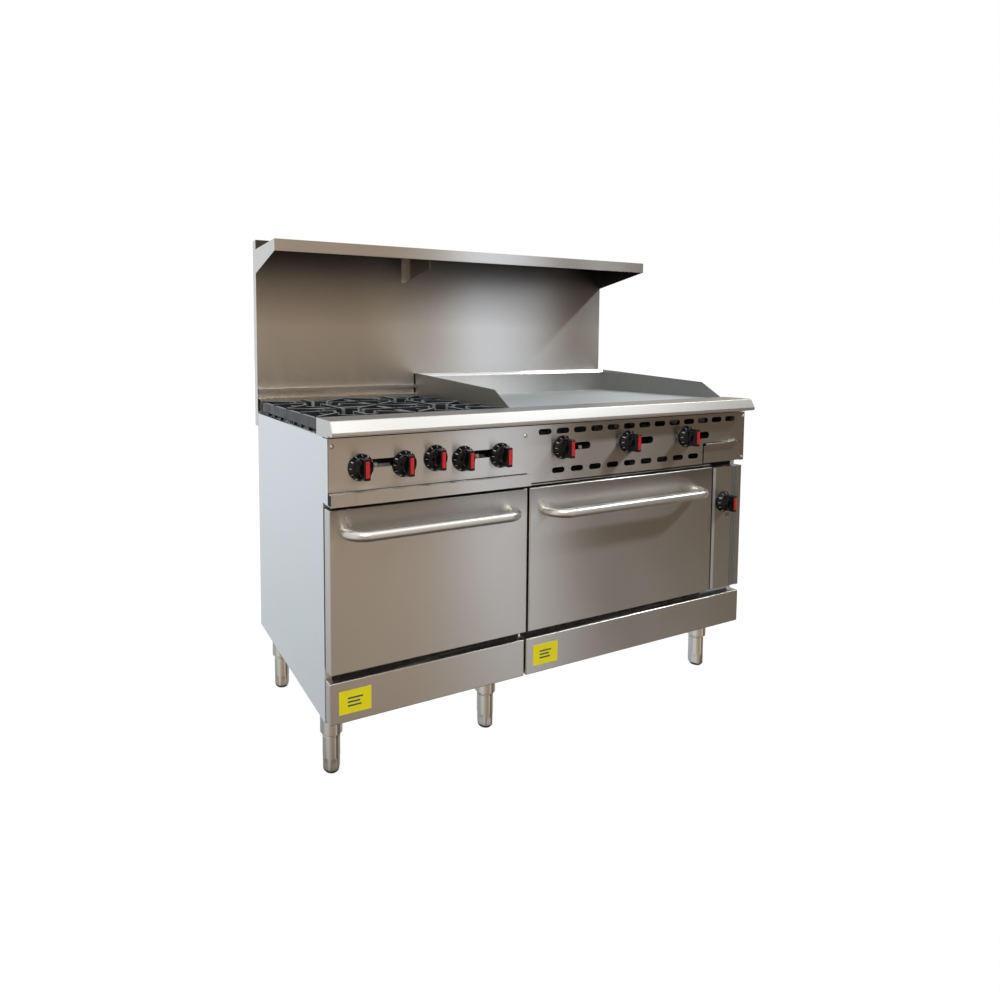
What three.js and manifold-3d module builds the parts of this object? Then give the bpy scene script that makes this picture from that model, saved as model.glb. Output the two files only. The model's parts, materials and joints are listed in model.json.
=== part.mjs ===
// Free-standing commercial gas range, 60 in (1524 mm) wide: a four-burner section over a narrow
// oven on the left, and a 36 in griddle over a wide oven on the right, with a backguard and a high
// shelf. Millimetres, +Z up, X to the right, the front faces -Y. The origin is on the floor, under
// the middle of the whole range.
import * as THREE from "three";
import { mergeVertices } from "three/addons/utils/BufferGeometryUtils.js";
import Module from "manifold-3d";

// ---------------------------------------------------------------- driving dimensions
// Y = 0 is the front edge of the side panels until the whole range is centred at the end.
const HALF = 762; // half of the 1524 mm body width
const BODY_DEPTH = 648; // side panels, front to back
const BODY_BOTTOM = 199;
const BODY_TOP = 942;
const OVERALL_TOP = 1530;
const SHEET = 1.5; // stainless sheet
const FIT = 0.3; // gap between pieces that touch
const PANEL_INSET = 2; // front panels stop this far inside the body's sides

// The front is split between the 24 in burner section and the 36 in griddle section.
const SPLIT_LEFT = -157; // right edge of the left door, kick plate and crumb tray
const SPLIT_RIGHT = -150; // left edge of the right door and kick plate

const SIDE_FOLD = 20; // flanges folded round the side panels
const BASE_RAIL = 30; // height of the base frame
const BASE_WALL = 3;
const BASE_BAYS = [[-670, -240], [-170, 680]]; // openings between the cross members
const BASE_BAY_Y = [50, 600];

const KICK = { front: -31, bottom: 206, top: 315 };
const DOOR = { front: -40, back: -3, bottom: 340, top: 762, rightEdge: 603 };
const HINGE = { y: -14, z: 347, rod: 4 }; // door hinge axis and rod radius
const VALVE_PANEL = { front: -29, left: 621, bottom: 336, top: 755, foldLeft: 712, foldRight: 745 };
const CONTROL = { front: -35, bottom: 775, leftBottom: 805, top: 940 };
const TRAY = { front: -54, bottom: 772, top: 803.5, back: 597 };
const DRAWER = { left: 564, right: 743, bottom: 776.5, top: 842, back: 420, gap: 5, notch: 11 };
const LEDGE = { back: 46, top: 986, nose: -54, front: -69, noseBottom: 957.5, under: 949.5 };

const BACK_FACE = 651; // front face of the backguard
const BACK_REAR = 687;
const BACK_BOTTOM = 897;
const BACK_LIP = { front: 628, bottom: 1015, top: 1026 }; // behind the rear grates
const DECK_RAIL = { front: 616, bottom: 950.5, top: 993 };
const SHELF = { front: 416, top: 1498, lipBottom: 1461.5, gussetBottom: 1417.5 };

const GRIDDLE = { left: -149.2, right: 758.2, front: 60, back: 625.7, top: 979, thick: 19 };
const SPLASH = { thick: 3, rearTop: 1067, knee: 134, kneeZ: 1034, frontZ: 984, rear: 629 };

const KNOB_Z = 871; // thermostats, griddle valves and the gas manifold
const BURNER_VALVE_Z = 863;
const KNOB_REACH = 45; // from the panel to the end of the grip
const KNOB_SKIRT = 35; // radius
const SIGHT_SLOT = { burner: 92, griddle: 86, height: 22, griddleOffset: 62 };
const VENT = { width: 47, height: 17 };
const VENT_ROWS = [
  { first: -94.7, step: 65.1, count: 13, z: 920 },
  { first: -44.8, step: 69.9, count: 9, z: 805 },
];
const BURNER_VALVES = [-673, -550, -370, -248];
const LEFT_THERMOSTAT_X = -457;
const GRIDDLE_VALVES = [-29, 228, 482];
const OVEN_KNOB = { x: 675, z: 636 };
const MANIFOLD = { y: 20, radius: 13, endX: 725 };
const OVEN_SUPPLY = { y: 75, z: 291, radius: 9 }; // gas tube to both oven burners
const STEM_END = -16.4; // rear end of the knob stems on the control panel

const BURNER_X = [-610, -305];
const BURNER_Y = [196, 470];
const GRATE = { left: -756, middle: -458.5, right: -160, front: 64, split: 330.5, back: 610 };
const GRATE_TOP = 986;
const GRATE_SKIRT_BOTTOM = 953;

const LEG_PLACES = [
  ["front_left", -709, 97],
  ["front_center", -204, 97],
  ["front_right", 720, 97],
  ["rear_left", -709, 581],
  ["rear_center", -204, 581],
  ["rear_right", 720, 581],
];
const LEG = { radius: 31, bore: 25, bottom: 113 };
const FOOT = { radius: 24.5, tip: 17, top: 153 };

const HANDLE = { radius: 14, reach: 64, bend: 46 };
const FRONT_MOST = DOOR.front - HANDLE.reach;
const CENTRE_Y = (FRONT_MOST + BACK_REAR) / 2;

// ---------------------------------------------------------------- solids
const wasm = await Module();
wasm.setup();

// A closed three.js geometry as a solid, turned face out where its profile ran the other way.
function solidOf(geometry) {
  const bare = geometry.clone();
  bare.deleteAttribute("normal");
  bare.deleteAttribute("uv");
  const merged = mergeVertices(bare, 1e-3);
  const points = merged.attributes.position.array;
  const all = Array.from(merged.index.array);
  const kept = [];
  let volume = 0;
  for (let i = 0; i < all.length; i += 3) {
    const [a, b, c] = all.slice(i, i + 3);
    if (a === b || b === c || c === a) continue;
    kept.push(a, b, c);
    const [p, q, r] = [a, b, c].map((n) => new THREE.Vector3().fromArray(points, 3 * n));
    volume += p.dot(q.cross(r));
  }
  if (volume < 0) kept.reverse();
  const triVerts = new Uint32Array(kept);
  return new wasm.Manifold(new wasm.Mesh({ numProp: 3, vertProperties: points, triVerts }));
}

function geometryOf(solid) {
  const mesh = solid.getMesh();
  const geometry = new THREE.BufferGeometry();
  geometry.setAttribute("position", new THREE.BufferAttribute(mesh.vertProperties, 3));
  geometry.setIndex(new THREE.BufferAttribute(mesh.triVerts, 1));
  geometry.computeVertexNormals();
  return geometry;
}

function join(...solids) {
  return solids.reduce((whole, solid) => whole.add(solid));
}

function cut(solid, ...tools) {
  return tools.reduce((left, tool) => left.subtract(tool), solid);
}

// A block between two X, two Y and two Z values.
function block(x0, x1, y0, y1, z0, z1) {
  const geometry = new THREE.BoxGeometry(x1 - x0, y1 - y0, z1 - z0);
  geometry.translate((x0 + x1) / 2, (y0 + y1) / 2, (z0 + z1) / 2);
  return solidOf(geometry);
}

// A sheet-metal tray: a thin-walled block, open on the side named by an axis and a sign.
function pan(x0, x1, y0, y1, z0, z1, open, wall = SHEET) {
  const reach = { "-x": 0, "+x": 1, "-y": 2, "+y": 3, "-z": 4, "+z": 5 }[open];
  const inside = [x0 + wall, x1 - wall, y0 + wall, y1 - wall, z0 + wall, z1 - wall];
  inside[reach] += (reach % 2 === 0 ? -3 : 3) * wall;
  return cut(block(x0, x1, y0, y1, z0, z1), block(...inside));
}

function shapeOf(points) {
  return new THREE.Shape(points.map(([u, v]) => new THREE.Vector2(u, v)));
}

// An outline in the XZ plane, run along Y.
function alongY(shape, y0, y1, curveSegments = 6) {
  const geometry = new THREE.ExtrudeGeometry(shape, {
    depth: y1 - y0,
    bevelEnabled: false,
    curveSegments,
  });
  geometry.rotateX(Math.PI / 2);
  geometry.translate(0, y1, 0);
  return solidOf(geometry);
}

// An outline in the YZ plane, run along X.
function alongX(points, x0, x1) {
  const geometry = new THREE.ExtrudeGeometry(shapeOf(points), { depth: x1 - x0, bevelEnabled: false });
  const turn = new THREE.Matrix4().makeBasis(
    new THREE.Vector3(0, 1, 0),
    new THREE.Vector3(0, 0, 1),
    new THREE.Vector3(1, 0, 0),
  );
  geometry.applyMatrix4(turn);
  geometry.translate(x0, 0, 0);
  return solidOf(geometry);
}

// A profile of radius and height turned about a vertical axis.
function turned(profile, sides) {
  const points = profile.map(([r, h]) => new THREE.Vector2(r, h));
  const geometry = new THREE.LatheGeometry(points, sides);
  geometry.rotateX(Math.PI / 2);
  return geometry;
}

function upright(profile, sides, x, y) {
  const geometry = turned(profile, sides);
  geometry.translate(x, y, 0);
  return solidOf(geometry);
}

// A profile of radius and reach turned about an axis that points out of the front.
function facingFront(profile, sides, x, y, z) {
  const geometry = turned(profile, sides);
  geometry.rotateX(Math.PI / 2);
  geometry.translate(x, y, z);
  return solidOf(geometry);
}

// A path through given points, so that a tube has a ring exactly at each of them.
class PointPath extends THREE.Curve {
  constructor(points) {
    super();
    this.points = points.map((p) => new THREE.Vector3(...p));
  }
  getPoint(t, target = new THREE.Vector3()) {
    const place = t * (this.points.length - 1);
    const index = Math.min(Math.floor(place), this.points.length - 2);
    return target.lerpVectors(this.points[index], this.points[index + 1], place - index);
  }
  getPointAt(u, target) {
    return this.getPoint(u, target);
  }
  getTangentAt(u, target = new THREE.Vector3()) {
    const last = this.points.length - 1;
    const index = Math.round(u * last);
    const before = this.points[Math.max(index - 1, 0)];
    const here = this.points[index];
    const after = this.points[Math.min(index + 1, last)];
    const arriving = here.clone().sub(before).normalize();
    return target.copy(after).sub(here).normalize().add(arriving).normalize();
  }
}

function tube(points, radius, sides) {
  const ring = [];
  for (let i = 0; i < sides; i += 1) {
    const angle = (2 * Math.PI * i) / sides;
    ring.push([radius * Math.cos(angle), radius * Math.sin(angle)]);
  }
  const path = new PointPath(points);
  const geometry = new THREE.ExtrudeGeometry(shapeOf(ring), {
    steps: points.length - 1,
    extrudePath: path,
    bevelEnabled: false,
  });
  return solidOf(geometry);
}

// Points round a quarter turn between two directions, about a centre.
function quarter(centre, from, to, radius, steps) {
  const points = [];
  for (let i = 0; i <= steps; i += 1) {
    const angle = (Math.PI / 2) * (i / steps);
    const place = centre.map((c, k) => c + radius * (from[k] * Math.cos(angle) + to[k] * Math.sin(angle)));
    points.push(place);
  }
  return points;
}

// A slot with round ends, through the front panels.
function slot(x, z, width, height) {
  const shape = new THREE.Shape();
  const half = (width - height) / 2;
  shape.absarc(x + half, z, height / 2, -Math.PI / 2, Math.PI / 2, false);
  shape.absarc(x - half, z, height / 2, Math.PI / 2, (3 * Math.PI) / 2, false);
  return alongY(shape, CONTROL.front - 5, CONTROL.front + 5, 4);
}

function roundHole(x, z, radius, y0, y1) {
  const shape = new THREE.Shape();
  shape.absarc(x, z, radius, 0, 2 * Math.PI, false);
  return alongY(shape, y0, y1, 6);
}

// ---------------------------------------------------------------- materials
function finish(color, metalness, roughness) {
  return new THREE.MeshStandardMaterial({ color, metalness, roughness });
}

const stainless = finish(0x9a9189, 1, 0.35);
const satin = finish(0xc3cacc, 1, 0.5);
const polished = finish(0xcfcdc8, 1, 0.18);
const steelPlate = finish(0xaeb4b8, 1, 0.4);
const darkSplash = finish(0x5f625b, 1, 0.45);
const castIron = finish(0x23282d, 0.6, 0.7);
const castBurner = finish(0x8b9296, 0.7, 0.6);
const blackKnob = finish(0x0b0b0c, 0, 0.25);
const galvanised = finish(0x9aa0a3, 1, 0.55);
const enamel = finish(0x1a1b1e, 0.2, 0.35);
const brass = finish(0xb0975a, 1, 0.4);

const range = new THREE.Group();
range.name = "gas_range";
range.position.y = -CENTRE_Y;

function add(name, solid, material) {
  const mesh = new THREE.Mesh(geometryOf(solid), material);
  mesh.name = name;
  range.add(mesh);
}

// ---------------------------------------------------------------- carcass
function sidePanels() {
  const inner = HALF - SIDE_FOLD;
  add("side_panel_left", pan(-HALF, -inner, 0, BODY_DEPTH, BODY_BOTTOM, BODY_TOP, "+x"), satin);
  add("side_panel_right", pan(inner, HALF, 0, BODY_DEPTH, BODY_BOTTOM, BODY_TOP, "-x"), satin);
}

function rearPanel() {
  const y0 = BODY_DEPTH + FIT;
  const sheet = block(-HALF, HALF, y0, y0 + SHEET, BODY_BOTTOM, BODY_TOP + 6);
  add("rear_panel", cut(sheet, roundHole(MANIFOLD.endX, KNOB_Z, 18, y0 - 3, y0 + 5)), galvanised);
}

function baseFrame() {
  const outer = HALF - SIDE_FOLD - 0.5;
  const z0 = BODY_BOTTOM;
  const z1 = BODY_BOTTOM + BASE_RAIL;
  // Rails and cross members are channels, open below; grow moves every wall into the metal.
  const [bayFront, bayBack] = BASE_BAY_Y;
  const channels = (grow, low, high) =>
    cut(
      block(-outer + grow, outer - grow, 2 + grow, BODY_DEPTH - 2 - grow, low, high),
      ...BASE_BAYS.map(([left, right]) =>
        block(left - grow, right + grow, bayFront - grow, bayBack + grow, low - 1, high + 1),
      ),
    );
  add("base_frame", cut(channels(0, z0, z1), channels(BASE_WALL, z0 - 1, z1 - BASE_WALL)), galvanised);
}

// The wall between the two sections, notched at its top front corner for the gas manifold.
function centerDivider() {
  const left = SPLIT_LEFT + 1;
  const right = SPLIT_RIGHT - 1;
  const bottom = BODY_BOTTOM + BASE_RAIL + FIT;
  const back = BODY_DEPTH - 4;
  const notch = MANIFOLD.y + 25;
  const outline = [
    [3, bottom],
    [back, bottom],
    [back, BODY_TOP],
    [notch, BODY_TOP],
    [notch, CONTROL.bottom + 31],
    [3, CONTROL.bottom + 31],
  ];
  const sheet = alongX(outline, left, left + SHEET);
  const topFlange = block(left - 16, right, notch, back, BODY_TOP - SHEET, BODY_TOP);
  const frontFlange = block(left, right, 3, 3 + SHEET, bottom, CONTROL.bottom + 31);
  const { y, z, radius } = OVEN_SUPPLY;
  const pipeHole = block(left - 1, right + 1, y - radius - 3, y + radius + 3, z - radius - 3, z + radius + 3);
  add("center_divider", cut(join(sheet, topFlange, frontFlange), pipeHole), galvanised);
}

function kickPlates() {
  const edge = HALF - PANEL_INSET;
  const back = -1;
  const left = pan(-edge, SPLIT_LEFT, KICK.front, back, KICK.bottom, KICK.top, "+y");
  const right = pan(SPLIT_RIGHT, edge, KICK.front, back, KICK.bottom, KICK.top, "+y");
  add("kick_plate_left", left, stainless);
  add("kick_plate_right", right, stainless);
}

// The folded front ledge: a flat top, a slanted nose and a hem, with closed ends.
function frontLedge() {
  const { back, top, nose, front, noseBottom, under } = LEDGE;
  const rest = BODY_TOP + FIT;
  const skirt = CONTROL.front - 1;
  const outside = [
    [back, rest],
    [back, top],
    [nose, top],
    [front, noseBottom],
    [front, under],
    [skirt, under],
    [skirt, rest],
  ];
  const wall = 2;
  const inside = [
    [back - wall, rest - 1],
    [back - wall, top - wall],
    [nose + 1, top - wall],
    [front + wall, noseBottom - 0.5],
    [front + wall, under + wall],
    [skirt + wall, under + wall],
    [skirt + wall, rest - 1],
  ];
  const shell = cut(alongX(outside, -HALF, HALF), alongX(inside, -HALF + wall, HALF - wall));
  add("front_ledge", shell, polished);
}

// ---------------------------------------------------------------- front panels
// Where a knob stem passes through the control panel: four burners, a thermostat, the griddle.
function valvePlaces() {
  return [
    ...BURNER_VALVES.map((x) => [x, BURNER_VALVE_Z]),
    [LEFT_THERMOSTAT_X, KNOB_Z],
    ...GRIDDLE_VALVES.map((x) => [x, KNOB_Z]),
  ];
}

function controlPanel() {
  const edge = HALF - PANEL_INSET;
  const outline = (grow) => [
    [-edge + grow, CONTROL.leftBottom + grow],
    [SPLIT_LEFT + grow, CONTROL.leftBottom + grow],
    [SPLIT_LEFT + grow, CONTROL.bottom + grow],
    [edge - grow, CONTROL.bottom + grow],
    [edge - grow, CONTROL.top - grow],
    [-edge + grow, CONTROL.top - grow],
  ];
  const outside = alongY(shapeOf(outline(0)), CONTROL.front, -1);
  const inside = alongY(shapeOf(outline(SHEET)), CONTROL.front + SHEET, 1);
  const tools = [inside];
  for (const { first, step, count, z } of VENT_ROWS) {
    for (let i = 0; i < count; i += 1) tools.push(slot(first + step * i, z, VENT.width, VENT.height));
  }
  const { burner, griddle, height, griddleOffset } = SIGHT_SLOT;
  for (const x of GRIDDLE_VALVES) tools.push(slot(x + griddleOffset, KNOB_Z, griddle, height));
  for (const i of [0, 2]) {
    const middle = (BURNER_VALVES[i] + BURNER_VALVES[i + 1]) / 2;
    tools.push(slot(middle, KNOB_Z, burner, height));
  }
  for (const [x, z] of valvePlaces()) {
    tools.push(roundHole(x, z, 7, CONTROL.front - 5, CONTROL.front + 5));
  }
  const mouth = [DRAWER.left - DRAWER.gap, DRAWER.right + 0.5, CONTROL.front - 5, 5];
  tools.push(block(...mouth, CONTROL.bottom - 5, DRAWER.top + 1));
  add("control_panel", cut(outside, ...tools), stainless);
}

// The narrow panel beside the wide oven, with a shallow upright channel pressed in it.
function valvePanel() {
  const { front, left, bottom, top, foldLeft, foldRight } = VALVE_PANEL;
  const body = pan(left, HALF - PANEL_INSET, front, -1, bottom, top, "+y", 3);
  const channel = block(foldLeft, foldRight, front - 1, front + 1.5, bottom - 1, top + 1);
  const hole = roundHole(OVEN_KNOB.x, OVEN_KNOB.z, 7, front - 5, front + 5);
  add("valve_panel", cut(body, channel, hole), stainless);
}

function crumbTray() {
  const { front, bottom, top, back } = TRAY;
  const face = pan(-HALF + PANEL_INSET, SPLIT_LEFT, front, -4, bottom, top, "+y");
  const tray = pan(-735, -178, front + 0.5, back, bottom + 3, bottom + 28, "+z", 1.2);
  const hollow = block(-733.8, -179.2, front + 2, back - 1.2, bottom + 4.2, bottom + 29);
  add("crumb_tray", cut(join(face, tray), hollow), stainless);
}

function greaseDrawer() {
  const { left, right, bottom, top, back, notch } = DRAWER;
  const sheet = block(left, right, CONTROL.front, CONTROL.front + SHEET, bottom, top);
  const corner = block(left - 1, left + notch, CONTROL.front - 1, CONTROL.front + 3, top - 8, top + 1);
  const face = cut(sheet, corner);
  const lip = block(left + 14, right - 12, CONTROL.front - 12, CONTROL.front + 1, top - 4, top - 1);
  const box = pan(left + 8, right - 8, CONTROL.front + 0.5, back, bottom + 6, bottom + 53, "+z", 1.2);
  add("grease_drawer", join(face, lip, box), stainless);
}

// ---------------------------------------------------------------- back and shelf
function backguard() {
  const shell = pan(-HALF, HALF, BACK_FACE, BACK_REAR, BACK_BOTTOM, OVERALL_TOP, "-z", 1.2);
  const x0 = -HALF + PANEL_INSET;
  const x1 = SPLIT_LEFT + 4;
  const seat = BACK_FACE + 0.5;
  const folds = [BACK_LIP, DECK_RAIL].map(({ front, bottom, top }) =>
    join(
      block(x0, x1, front, seat, top - SHEET, top),
      block(x0, x1, front, front + SHEET, bottom, top),
    ),
  );
  add("backguard", join(shell, ...folds), stainless);
}

// The high shelf is one welded piece: sheet, hemmed lip, two end gussets and a centre bracket.
function shelf() {
  const { front, top, lipBottom, gussetBottom } = SHELF;
  const back = BACK_FACE - FIT;
  const end = HALF - SHEET / 2;
  const sheet = block(-end, end, front, back, top - SHEET, top);
  const lip = block(-end, end, front, front + SHEET, lipBottom, top);
  const hem = block(-end, end, front, front + 9, lipBottom, lipBottom + SHEET);
  const gusset = [
    [front, lipBottom],
    [back, gussetBottom],
    [back, top],
    [front, top],
  ];
  const web = [
    [front + 50, top - 58],
    [back, top - 88],
    [back, top - 0.5],
    [front + 50, top - 0.5],
  ];
  const pieces = [
    sheet,
    lip,
    hem,
    alongX(gusset, -HALF, -HALF + SHEET),
    alongX(gusset, HALF - SHEET, HALF),
    alongX(web, -192, -190.5),
    block(-210, -190, back - SHEET, back, top - 90, top - 0.5),
  ];
  add("high_shelf", join(...pieces), stainless);
}

// ---------------------------------------------------------------- griddle
function griddle() {
  const { left, right, front, back, top, thick } = GRIDDLE;
  const plate = block(left, right, front, back, top - thick, top);
  const troughFront = LEDGE.back + 1;
  const troughBottom = BODY_TOP + 4;
  const chute = pan(640, 670, troughFront, front + 1, 848, troughBottom + 1, "-z");
  const pieces = [
    block(left, right, troughFront, troughFront + SHEET, troughBottom, top + 2),
    block(left, right, troughFront, troughFront + 8, top + 0.5, top + 2),
    block(left, right, troughFront, front + 1, troughBottom, troughBottom + SHEET),
    block(left, right, front, front + SHEET, troughBottom, top - thick + 2),
    chute,
  ];
  const drain = block(645, 665, troughFront + 3, front - 2, 918, troughBottom + 5);
  add("griddle_plate", cut(join(plate, ...pieces), drain), steelPlate);

  const { thick: t, rearTop, knee, kneeZ, frontZ, rear } = SPLASH;
  const side = [
    [troughFront, BODY_TOP + FIT],
    [rear, BODY_TOP + FIT],
    [rear, rearTop],
    [knee, kneeZ],
    [troughFront + 10, frontZ],
    [troughFront, top + 2],
  ];
  const leftWall = alongX(side, left - FIT - t, left - FIT);
  const rightWall = alongX(side, right + FIT, right + FIT + t);
  const x0 = left - FIT - t;
  const x1 = right + FIT + t;
  const rearWall = block(x0, x1, back + FIT, rear, BODY_TOP + FIT, rearTop);
  const hem = block(x0, x1, back - 4, rear - 1, rearTop - 11, rearTop);
  const ledge = block(x0, x1, rear - 1, BACK_FACE - FIT, rearTop - SHEET, rearTop);
  add("griddle_splash", join(leftWall, rightWall, rearWall, hem, ledge), darkSplash);
}

// Three straight burner tubes under the plate, joined at the front by the lighting tube.
function griddleBurner() {
  const z = 914;
  const radius = 18;
  const places = [30, 290, 550];
  const pieces = places.map((x) => tube([[x, 70, z], [x, 560, z]], radius, 8));
  pieces.push(tube([[places[0], 100, z], [places[2], 100, z]], 7, 6));
  add("griddle_burner", join(...pieces), castBurner);
}

// ---------------------------------------------------------------- gas train
function gasManifold() {
  const { y, radius, endX } = MANIFOLD;
  const elbow = 30;
  const bend = quarter([endX - elbow, y + elbow, KNOB_Z], [0, -1, 0], [1, 0, 0], elbow, 4);
  const route = [[-735, y, KNOB_Z], ...bend, [endX, BACK_REAR - 3, KNOB_Z]];
  const pieces = [tube(route, radius, 10)];
  for (const [x, z] of valvePlaces()) {
    pieces.push(tube([[x, STEM_END + 0.4, z], [x, y + 18, z]], 9, 6));
    pieces.push(block(x - 13, x + 13, -4, y + 6, z - 11, z + 11));
  }
  const branchY = 440;
  const drop = tube([[endX, branchY, KNOB_Z], [endX, branchY, OVEN_KNOB.z]], 8, 8);
  const cross = tube([[endX + 6, branchY, OVEN_KNOB.z], [OVEN_KNOB.x - 8, branchY, OVEN_KNOB.z]], 8, 8);
  const run = tube([[OVEN_KNOB.x, branchY, OVEN_KNOB.z], [OVEN_KNOB.x, 10, OVEN_KNOB.z]], 8, 8);
  const { x, z } = OVEN_KNOB;
  const thermostat = block(x - 22, x + 22, STEM_END + 6, 48, z - 24, z + 24);
  add("gas_manifold", join(...pieces, drop, cross, run, thermostat), brass);
}

// A cast top burner: a round head, a neck and a mixing tube that runs forward to its valve.
function topBurner(name, x, y, valveX) {
  const head = [
    [0, 875],
    [17, 875],
    [17, 902],
    [46, 914],
    [46, 934],
    [30, 946],
    [0, 946],
  ];
  const entry = [x + 0.8 * (valveX - x), MANIFOLD.y + 28];
  const mixer = tube([[x, y, 883], [entry[0], entry[1], BURNER_VALVE_Z + 8]], 11, 8);
  add(name, join(upright(head, 20, x, y), mixer), castBurner);
}

function topBurners() {
  topBurner("top_burner_front_left", BURNER_X[0], BURNER_Y[0], BURNER_VALVES[0]);
  topBurner("top_burner_rear_left", BURNER_X[0], BURNER_Y[1], BURNER_VALVES[1]);
  topBurner("top_burner_front_right", BURNER_X[1], BURNER_Y[0], BURNER_VALVES[3]);
  topBurner("top_burner_rear_right", BURNER_X[1], BURNER_Y[1], BURNER_VALVES[2]);
}

// ---------------------------------------------------------------- grates
// A square cast frame on small feet, with fingers that reach in over the burner.
function grate(name, x0, x1, y0, y1, burnerX, burnerY) {
  const bar = 11;
  const skirtBottom = GRATE_SKIRT_BOTTOM;
  const ringTop = GRATE_TOP - 5;
  const ring = cut(
    block(x0, x1, y0, y1, skirtBottom, ringTop),
    block(x0 + bar, x1 - bar, y0 + bar, y1 - bar, skirtBottom - 1, ringTop + 1),
  );
  const pieces = [ring];
  for (const x of [x0 + 22, x1 - 22]) {
    for (const y of [y0 + 5.5, y1 - 5.5]) {
      pieces.push(block(x - 9, x + 9, y - 5, y + 5, BODY_TOP + FIT, skirtBottom + 1));
    }
  }
  for (const x of [x0 + 5.5, x1 - 5.5]) {
    for (const share of [0.25, 0.5, 0.75]) {
      const y = y0 + share * (y1 - y0);
      pieces.push(block(x - 5, x + 5, y - 5, y + 5, BODY_TOP + FIT, skirtBottom + 1));
    }
  }
  // Fingers reach in from the ring towards the burner, and stop round its head.
  const clear = 40;
  const half = 4.5;
  const low = GRATE_TOP - 16;
  pieces.push(block(x0 + 1, burnerX - clear, burnerY - half, burnerY + half, low, GRATE_TOP));
  pieces.push(block(burnerX + clear, x1 - 1, burnerY - half, burnerY + half, low, GRATE_TOP));
  pieces.push(block(burnerX - half, burnerX + half, y0 + 1, burnerY - clear, low, GRATE_TOP));
  pieces.push(block(burnerX - half, burnerX + half, burnerY + clear, y1 - 1, low, GRATE_TOP));
  for (const [cornerX, sx] of [[x0 + 4, -1], [x1 - 4, 1]]) {
    for (const [cornerY, sy] of [[y0 + 4, -1], [y1 - 4, 1]]) {
      const inner = [burnerX + sx * (clear + 14), burnerY + sy * (clear + 14)];
      const way = new THREE.Vector2(cornerX - inner[0], cornerY - inner[1]).normalize();
      const side = [-way.y * half, way.x * half];
      const outline = [
        [inner[0] + side[0], inner[1] + side[1]],
        [inner[0] - side[0], inner[1] - side[1]],
        [cornerX - side[0], cornerY - side[1]],
        [cornerX + side[0], cornerY + side[1]],
      ];
      const geometry = new THREE.ExtrudeGeometry(shapeOf(outline), {
        depth: GRATE_TOP - low,
        bevelEnabled: false,
      });
      geometry.translate(0, 0, low);
      pieces.push(solidOf(geometry).intersect(block(x0, x1, y0, y1, low, GRATE_TOP)));
    }
  }
  add(name, join(...pieces), castIron);
}

function grates() {
  const half = 1;
  const columns = [
    ["left", GRATE.left, GRATE.middle - half, BURNER_X[0]],
    ["right", GRATE.middle + half, GRATE.right, BURNER_X[1]],
  ];
  const rows = [
    ["front", GRATE.front, GRATE.split - half, BURNER_Y[0]],
    ["rear", GRATE.split + half, GRATE.back, BURNER_Y[1]],
  ];
  for (const [row, y0, y1, burnerY] of rows) {
    for (const [column, x0, x1, burnerX] of columns) {
      grate(`grate_${row}_${column}`, x0, x1, y0, y1, burnerX, burnerY);
    }
  }
}

// ---------------------------------------------------------------- knobs
// A round skirt against the panel, a raised hub and a straight grip, on a stem to its valve.
function knob(name, x, front, z, stemEnd) {
  const profile = [
    [0, stemEnd - front],
    [4, stemEnd - front],
    [4, -0.5],
    [KNOB_SKIRT, -0.5],
    [KNOB_SKIRT, -4],
    [28, -15],
    [21, -17],
    [19, -27],
    [0, -27],
  ];
  const reach = profile.map(([r, h]) => [r, -h]);
  const body = facingFront(reach, 18, x, front, z);
  const grip = block(x - 6.5, x + 6.5, front - KNOB_REACH, front - 10, z - 27, z + 27);
  add(name, join(body, grip), blackKnob);
}

function knobs() {
  BURNER_VALVES.forEach((x, i) => {
    knob(`burner_knob_${i + 1}`, x, CONTROL.front, BURNER_VALVE_Z, STEM_END);
  });
  knob("oven_knob_left", LEFT_THERMOSTAT_X, CONTROL.front, KNOB_Z, STEM_END);
  GRIDDLE_VALVES.forEach((x, i) => {
    knob(`griddle_knob_${i + 1}`, x, CONTROL.front, KNOB_Z, STEM_END);
  });
  knob("oven_knob_right", OVEN_KNOB.x, VALVE_PANEL.front, OVEN_KNOB.z, STEM_END + 5.6);
}

// ---------------------------------------------------------------- ovens
const OVENS = [
  {
    side: "left",
    flange: [-HALF + SIDE_FOLD + 0.5, SPLIT_LEFT - 1],
    cavity: [-715, -205],
    door: [-HALF + PANEL_INSET, SPLIT_LEFT],
    handle: [-733, -198, 702.5],
  },
  {
    side: "right",
    flange: [SPLIT_RIGHT + 1, 610],
    cavity: [-105, 565],
    door: [SPLIT_RIGHT, DOOR.rightEdge],
    handle: [-103, 545, 690.5],
  },
];
const CAVITY = { bottom: 359, top: 719, back: 520 };
const RACK_Z = 530;
const HINGE_INSET = 60; // hinge arms, in from each end of a door

function ovenLiner({ side, flange, cavity }) {
  const [x0, x1] = cavity;
  const { bottom, top, back } = CAVITY;
  const faceFront = 0.5;
  const faceBottom = BODY_BOTTOM + BASE_RAIL + 1;
  const face = block(...flange, faceFront, faceFront + SHEET, faceBottom, TRAY.bottom - 3);
  const outside = block(x0 - SHEET, x1 + SHEET, faceFront, back + SHEET, bottom - SHEET, top + SHEET);
  const inside = block(x0, x1, -5, back, bottom, top);
  const ledges = [x0, x1 - 9].map((x) => block(x, x + 9, 20, back - 20, RACK_Z - 5, RACK_Z - 1));
  const flueSlots = [x0 + 12, x1 - 24].map((x) => block(x, x + 12, 90, 435, bottom - 5, bottom + 5));
  const shell = cut(join(face, outside), inside, ...flueSlots);
  add(`oven_liner_${side}`, join(shell, ...ledges), enamel);
}

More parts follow.
